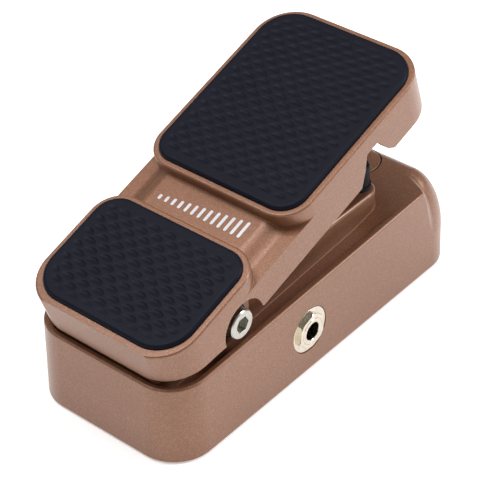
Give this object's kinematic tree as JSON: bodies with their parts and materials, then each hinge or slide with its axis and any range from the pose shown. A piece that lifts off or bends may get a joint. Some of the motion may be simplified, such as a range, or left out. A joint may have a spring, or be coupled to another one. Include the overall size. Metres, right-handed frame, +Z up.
{
  "type": "volume pedal",
  "caption": "Compact foot volume pedal: rounded metal base, rocking treadle with two dimpled rubber pads, side jacks and a gear driven potentiometer.",
  "frame": {"origin": "centre of the pedal's bounding box at the level its rubber feet stand on", "axes": "+Z up, +Y towards the toe end, +X towards the side with the input jack"},
  "size_m": [0.0658, 0.1482, 0.0867],
  "materials": {
    "copper_paint": "metallic copper bronze",
    "black_steel": "matte black",
    "screw_steel": "zinc plated",
    "black_rubber": "matte",
    "pad_rubber": "satin blue-black",
    "bolt_steel": "satin",
    "black_nylon": "matte",
    "white_nylon": "matte",
    "board_green": "solder mask",
    "capacitor_blue": "sleeve",
    "bracket_zinc": "zinc plated",
    "nickel": "nickel plated",
    "brass": "machined"
  },
  "bodies": {
    "base": {"base_housing": "copper_paint", "hole_cover": "copper_paint", "bottom_plate": "black_steel", "bottom_screws": "screw_steel", "rubber_feet": "black_rubber", "toe_bumpers": "black_rubber", "heel_bumpers": "black_rubber", "pivot_bolt_right": "bolt_steel", "pivot_bolt_left": "bolt_steel", "pivot_washer_right": "screw_steel", "pivot_washer_left": "screw_steel", "input_jack_body": "black_nylon", "input_jack_bushing": "nickel", "input_jack_washer": "nickel", "input_jack_nut": "nickel", "input_jack_contacts": "brass", "output_jack_body": "black_nylon", "output_jack_bushing": "nickel", "output_jack_washer": "nickel", "output_jack_nut": "nickel", "output_jack_contacts": "brass", "circuit_board": "board_green", "board_screws": "screw_steel", "board_chips": "black_nylon", "board_capacitors": "capacitor_blue", "potentiometer_body": "black_nylon", "potentiometer_bracket": "bracket_zinc", "potentiometer_nut": "nickel"},
    "treadle": {"treadle": "copper_paint", "heel_pad": "pad_rubber", "toe_pad": "pad_rubber", "pivot_bushing_right": "black_nylon", "pivot_bushing_left": "black_nylon", "sector_gear": "white_nylon", "sector_screws": "screw_steel"},
    "pot_rotor": {"potentiometer_shaft": "nickel", "pinion_gear": "brass", "pinion_set_screw": "screw_steel"}
  },
  "joints": [
    {"name": "treadle_rock", "type": "hinge", "parent": "base", "child": "treadle", "pos_m": [0, -0.04001, 0.0378], "axis": [-1, 0, 0], "range_deg": [0, 18]},
    {"name": "pot_turn", "type": "hinge", "parent": "base", "child": "pot_rotor", "pos_m": [0, 0.01476, 0.02616], "axis": [-1, 0, 0], "range_deg": [-162, 0]}
  ],
  "couplings": [
    {"joint": "pot_turn", "follows": "treadle_rock", "ratio": -9}
  ]
}
